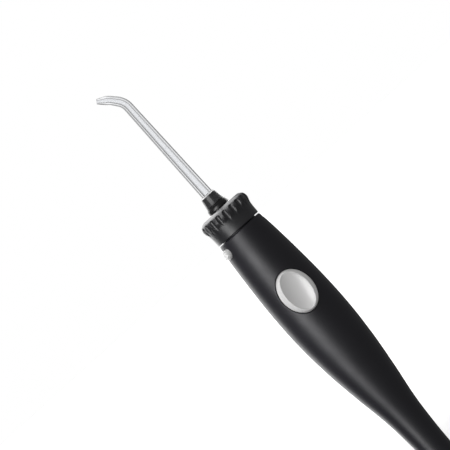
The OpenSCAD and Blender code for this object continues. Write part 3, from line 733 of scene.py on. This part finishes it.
def tip_base_shape():
    """The shank with its latch groove, the flange, the ring's seat and the ribbed cone"""
    groove_low, groove_high = EJECT_Z - GROOVE_H / 2, EJECT_Z + GROOVE_H / 2
    seat_r, tube_hole, tube_floor = 4.4, TUBE_R + 0.02, CONE_TOP - 6.4
    profile = [(BORE_R, SHANK_BASE), (SHANK_R - 0.5, SHANK_BASE), (SHANK_R, SHANK_BASE + 0.8),
               (SHANK_R, groove_low), (GROOVE_R, groove_low), (GROOVE_R, groove_high),
               (SHANK_R, groove_high), (SHANK_R, BODY_TOP + 5.4), (4.0, BODY_TOP + 5.4),
               (4.0, TIP_FLANGE_Z - 0.05), (5.15, TIP_FLANGE_Z), (5.23, TIP_FLANGE_Z + 0.08),
               (5.23, RING_Z - 0.05), (seat_r, RING_Z - 0.05), (seat_r, CONE_Z - 0.05),
               (4.76, CONE_Z - 0.01), (4.84, CONE_Z + 0.06)]
    profile += curve_through(CONE_SIDE, 6)
    profile += [(3.98, CONE_TOP - 0.76), (3.9, CONE_TOP - 0.66), (3.55, CONE_TOP - 0.3),
                (3.44, CONE_TOP - 0.18), (3.36, CONE_TOP), (tube_hole, CONE_TOP),
                (tube_hole, tube_floor), (BORE_R, tube_floor)]
    n = 96
    rows = []
    for r, z in profile:
        fade = (max(0.0, min(1.0, (z - CONE_Z - 0.3) / 1.2))
                * max(0.0, min(1.0, (CONE_SIDE_TOP - z) / 1.0)))
        row = []
        for i in range(n):
            t = 2 * math.pi * i / n
            wave = 0.5 - 0.5 * math.cos(CONE_RIBS * t)
            rib = CONE_RIB_DEPTH * fade * wave if r > tube_hole else 0.0
            row.append(((r - rib) * math.cos(t), (r - rib) * math.sin(t), z))
        rows.append(row)
    return Shape().rows(rows, closed=True)


def id_ring_shape():
    """The ring that tells one tip from another, pushed over the cone's seat"""
    bore = 4.43
    side = curve_through([(5.63, RING_Z + 0.27), (5.63, RING_Z + 1.1), (5.47, RING_Z + 1.7),
                          (5.2, RING_Z + 2.2), (5.02, RING_Z + 2.62)], 5)
    profile = [(bore, RING_Z), (5.43, RING_Z), (5.57, RING_Z + 0.08), *side,
               (4.9, RING_Z + RING_H), (bore, RING_Z + RING_H)]
    return Shape().lathe(profile, 96, closed=True)


def nozzle_path():
    """Stations (x, z, turn, outer radius, bore radius) from the tube's foot to the outlet"""
    first = math.radians(NOSE_TURN - ARCH_TURN)
    total = math.radians(NOSE_TURN)
    elbow_r = BEND_R - 0.05
    nose_r = MID_R - 0.06
    path = [(0, CONE_TOP - TUBE_DEPTH, 0, TUBE_R, BORE_R), (0, CONE_TOP - 0.2, 0, TUBE_R, BORE_R)]

    def straight(length, turn, steps, r0, r1, b0, b1, ease=0.0):
        """Runs on at one angle; ease lets the outside keep its width a little longer"""
        x, z = path[-1][:2]
        for k in range(1, steps + 1):
            t = k / steps
            path.append((x - length * t * math.sin(turn), z + length * t * math.cos(turn), turn,
                         r0 + (r1 - r0) * ((1 - ease) * t + ease * t * t), b0 + (b1 - b0) * t))

    for k in range(1, 25):
        t = k / 24
        path.append((0, CONE_TOP + TUBE_LEN * t, 0,
                     TUBE_R + (BEND_R - TUBE_R) * t, BORE_R + (BEND_BORE - BORE_R) * t))
    for k in range(1, 13):
        a = first * k / 12
        path.append((-ELBOW * (1 - math.cos(a)), BEND_Z + ELBOW * math.sin(a), a,
                     BEND_R + (elbow_r - BEND_R) * k / 12, BEND_BORE))
    straight(NOSE_ROOT, first, 8, elbow_r, MID_R, BEND_BORE, MID_BORE)
    x, z = path[-1][:2]
    for k in range(1, 9):
        a = first + (total - first) * k / 8
        path.append((x - ARCH * (math.cos(first) - math.cos(a)),
                     z + ARCH * (math.sin(a) - math.sin(first)), a,
                     MID_R + (nose_r - MID_R) * (k / 8) ** 2, MID_BORE))
    straight(NOSE_END, total, 12, nose_r, OUTLET_R, MID_BORE, OUTLET_BORE, ease=0.25)
    return path


def tube_shape():
    path = nozzle_path()
    outlet_edge = 0.12

    def ring(x, z, a, r):
        return [(x + c * math.cos(a), s, z + c * math.sin(a)) for c, s in circle(r, 320)]
    outer = [ring(x, z, a, r) for x, z, a, r, b in path]
    x, z, a, r, b = path[-1]
    outer[-1] = ring(x, z, a, r - outlet_edge)
    bore = [ring(x, z, a, b) for x, z, a, r, b in reversed(path)]
    return Shape().rows(outer + bore, closed=True)


TIP_BASE = make("tip_base_cone", tip_base_shape(), "tip", "tip_black", "tip_base", degrees=30)
ID_RING = make("tip_id_band", id_ring_shape(), "tip", "tip_black", "tip_id_ring", degrees=40)
TUBE = make("jet_tube", tube_shape(), "tip", "tip_clear", "jet_tip", degrees=60)


# ---- Tail cap
def tail_cap_shape():
    """The ring at the tail with the hose gland, its sleeve pushed up into the shells"""
    r, gland, edge = TAIL_D / 2, 4.2, 0.9
    sleeve_r, seat_r, sleeve_top = 5.3, 4.6, 11.5
    profile = [(gland, 0.35), (gland + 0.1, 0.1), (gland + 0.35, 0), (r - edge, 0)]
    for t in quarter_turn(6, 1):
        profile.append((r - edge + edge * math.sin(t), edge * (1 - math.cos(t))))
    profile += [(r, 3.75), (r - 0.15, 3.9), (sleeve_r, 3.9), (sleeve_r, sleeve_top),
                (seat_r, sleeve_top), (seat_r, 6.2), (gland, 6)]
    return Shape().lathe(profile, 128, closed=True)


make("tail_cap_ring", tail_cap_shape(), "handle", "body_black", "tail_cap", degrees=35)


# ---- Return springs of the two buttons
def spring_shape(r_mid, wire, length, turns, place, n=40, sides=12):
    """A coil of the given turns between two closed end coils"""
    pitch = 2.15 * wire
    rise = length - 2 * wire - 2 * pitch
    rows = []
    for i in range(int(n * (turns + 2)) + 1):
        t = i / n
        if t < 1:
            lift = pitch * t
        elif t > turns + 1:
            lift = pitch + rise + pitch * (t - turns - 1)
        else:
            lift = pitch + rise * (t - 1) / turns
        a = 2 * math.pi * t
        rows.append([place @ Vector(((r_mid + across) * math.cos(a), (r_mid + across) * math.sin(a),
                                     wire + lift + along))
                     for across, along in circle(wire, sides)])
    return Shape().rows(rows)


PAUSE_SPRING_END, PAUSE_SPRING_LEN = 10.25, 5.6     # where the valve's plug holds it, and length
SPRING_PLAY = 0.02                      # the eject spring's gap at either end
pause_coil = spring_shape(1.8, 0.2, PAUSE_SPRING_LEN, 4,
                          along_y((0, PAUSE_SPRING_END - PAUSE_SPRING_LEN, PAUSE_Z)))
eject_coil = spring_shape(1.62, 0.15, EJECT_POCKET - SPRING_SEAT - 2 * SPRING_PLAY, 4,
                          at_eject(SPRING_PLAY - EJECT_POCKET))
PAUSE_SPRING = make("pause_return_spring", pause_coil, "handle", "steel", "pause_spring",
                    degrees=60)
EJECT_SPRING = make("eject_return_spring", eject_coil, "handle", "steel", "eject_spring",
                    degrees=60)
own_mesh(PAUSE_SPRING)
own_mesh(EJECT_SPRING)

# ---- The CAD's own meshes get the material of their slot
for part in frame["record"]["subparts"]:
    obj = frame["nodes"][part["node"]]
    obj.data.materials.clear()
    obj.data.materials.append(SLOT_LOOKS[part["material_slot"]])

# ---- Camera: the tip points to the upper left, the pause button faces a little to the right
FRAME_WIDTH = 204.75 * MM
DISTANCE = 1.3
AIM_Z, AIM_LEFT = 150.46 * MM, 3.3 * MM
SENSOR = 36
azimuth, roll = math.radians(-5), math.radians(42)
to_camera = Vector((math.sin(azimuth), -math.cos(azimuth), 0))
level_right = Vector((math.cos(azimuth), math.sin(azimuth), 0))
up = Vector((0, 0, 1))
cam_right = math.cos(roll) * level_right - math.sin(roll) * up
cam_up = math.sin(roll) * level_right + math.cos(roll) * up
aim = Vector((0, 0, AIM_Z)) - AIM_LEFT * level_right
camera = bpy.data.objects.new("camera", bpy.data.cameras.new("camera"))
bpy.context.scene.collection.objects.link(camera)
turn = Matrix((cam_right, cam_up, to_camera)).transposed().to_4x4()
camera.matrix_world = Matrix.Translation(aim + to_camera * DISTANCE) @ turn
camera.data.sensor_width = SENSOR
camera.data.lens = SENSOR * DISTANCE / FRAME_WIDTH
camera.data.clip_start = 0.01
camera.data.clip_end = 50
bpy.context.scene.camera = camera
bpy.context.scene.view_settings.view_transform = "Standard"


# ---- Lights, in metres
def area_light(name, azimuth, height, distance, size, power, target=(0, 0, 0.12), lean=0.0):
    """A soft box at an azimuth counted from the front, aimed at the target and leant in degrees"""
    data = bpy.data.lights.new(name, "AREA")
    data.shape = "RECTANGLE"
    data.size, data.size_y = size
    data.energy = power
    light = bpy.data.objects.new(name, data)
    bpy.context.scene.collection.objects.link(light)
    a = math.radians(azimuth)
    light.location = (math.sin(a) * distance, -math.cos(a) * distance, height)
    aimed = (Vector(target) - light.location).to_track_quat("-Z", "Y").to_matrix()
    light.rotation_euler = (aimed @ Matrix.Rotation(-math.radians(lean), 3, "Z")).to_euler()
    light.visible_camera = False
    return light


def receivers(light, *objects):
    """Keeps a light for the named pieces alone"""
    group = bpy.data.collections.new(light.name + "_receivers")
    for obj in objects:
        group.objects.link(obj)
    light.light_linking.receiver_collection = group
    return group


def keep_off(light, obj):
    """Keeps a light off one piece"""
    receivers(light, obj).collection_objects[0].light_linking.link_state = "EXCLUDE"


key_shine = area_light("key_shine", -37, 0.14, 0.8, (0.4, 0.9), 6.6, lean=30)
key_shine.visible_diffuse = False
keep_off(key_shine, TUBE)
key_soft = area_light("key_soft", -67, 0.5, 0.8, (0.5, 0.9), 5.0)
key_soft.visible_glossy = False
keep_off(key_soft, TUBE)
rim_top = area_light("rim_top", 0, 0.75, 0.1, (1.0, 1.4), 20.0, target=(0, -0.0999, 0.15))
receivers(rim_top, COLLAR)
tip_top = area_light("tip_top", 180, 0.75, 0.15, (1.0, 1.0), 42.0, target=(0, 0, 0.15))
receivers(tip_top, TIP_BASE)
tip_edge = area_light("tip_edge", 138, 0.2, 0.6, (0.5, 0.5), 3.6, target=(0, 0, 0.16))
receivers(tip_edge, TIP_BASE, ID_RING)
eject_fill = area_light("eject_fill", -60, 0.25, 0.5, (0.3, 0.3), 0.5, target=(-0.01, 0, 0.14))
eject_fill.visible_glossy = False
receivers(eject_fill, EJECT)
button_top = area_light("button_top", -10, 0.62, 0.3, (0.4, 0.4), 0.55, target=(0, -0.015, 0.11))
receivers(button_top, BUTTON)

# ---- World: a pale studio round the object, one brightness for each kind of ray. Its zones are
# (bearing in degrees from straight behind the object, negative towards -X; brightness).
GLOSS_ZONES = [(-180, 0.1), (-62, 0.1), (-36, 2.7), (4, 2.7), (24, 0.2), (95, 0.15), (125, 0.15)]
CLEAR_ZONES = [(-180, 0.3), (-150, 0.35), (-125, 0.8), (-100, 0.1), (-84, 0.85), (-76, 0.75),
               (-64, 0.08), (-50, 0.08), (-43, 0.55), (-20, 0.78), (-8, 1.25), (8, 1.3),
               (20, 1.2), (34, 1.2), (41, 0.5), (82, 0.52), (95, 0.1), (125, 0.8), (150, 0.35),
               (179, 0.3)]
GLOSS_PEAK, CLEAR_PEAK = 3.0, 1.4       # the ramps hold shares of these
DIFFUSE_GREY, BACKDROP_WHITE = (0.35, 0.35, 0.35), (1, 1, 1)

world = bpy.data.worlds.new("studio")
bpy.context.scene.world = world
world.use_nodes = True
world.cycles.sampling_method = "NONE"
wt = world.node_tree
axes = node(wt, "ShaderNodeSeparateXYZ", {
    "Vector": node(wt, "ShaderNodeTexCoord").outputs["Generated"]}).outputs
bearing = node(wt, "ShaderNodeMath", {0: axes["X"], 1: axes["Y"]}, operation="ARCTAN2")
bearing_share = span(wt, bearing.outputs["Value"], 0, 1, -math.pi, math.pi)


def zones(stops, peak):
    """Brightness by bearing, from (degrees, brightness) stops"""
    ramp = node(wt, "ShaderNodeValToRGB", {"Fac": bearing_share})
    ramp.color_ramp.interpolation = "EASE"
    elements = ramp.color_ramp.elements
    elements.remove(elements[1])
    for k, (degrees, value) in enumerate(stops):
        spot = (degrees + 180) / 360
        e = elements[0] if k == 0 else elements.new(spot)
        e.position = spot
        e.color = (value / peak, value / peak, value / peak, 1)
    return node(wt, "ShaderNodeVectorMath", {0: ramp.outputs["Color"], "Scale": peak},
                operation="SCALE").outputs["Vector"]


rays = node(wt, "ShaderNodeLightPath")
look = DIFFUSE_GREY
for flag, seen in (("Is Glossy Ray", zones(GLOSS_ZONES, GLOSS_PEAK)),
                   ("Is Singular Ray", zones(CLEAR_ZONES, CLEAR_PEAK)),
                   ("Is Camera Ray", BACKDROP_WHITE)):
    look = blend(wt, rays.outputs[flag], look, seen)
feed(wt, wt.nodes["Background"], {"Color": look})

# ---- Floor: it shows to the camera alone, and brightens outwards up to the backdrop's white
FLOOR_HALF, FLOOR_Z = 30.0, -0.0012
floor_mesh = bpy.data.meshes.new("floor")
floor_mesh.from_pydata([(x * FLOOR_HALF, y * FLOOR_HALF, FLOOR_Z)
                        for x, y in ((-1, -1), (1, -1), (1, 1), (-1, 1))], [], [(0, 1, 2, 3)])
floor = bpy.data.objects.new("floor", floor_mesh)
bpy.context.scene.collection.objects.link(floor)
floor_mat, ft, floor_shader = new_material("pale_floor")
far = node(ft, "ShaderNodeVectorMath", {0: node(ft, "ShaderNodeTexCoord").outputs["Object"]},
           operation="LENGTH").outputs["Value"]
feed(ft, floor_shader, {
    "Base Color": (0.8, 0.8, 0.8, 1), "Roughness": 0.7, "Specular IOR Level": 0.1,
    "Emission Color": (1, 1, 1, 1), "Emission Strength": span(ft, far, 0.42, 1.0, 0.12, 0.5)})
floor_mesh.materials.append(floor_mat)
floor.visible_glossy = False
floor.visible_diffuse = False
floor.visible_transmission = False
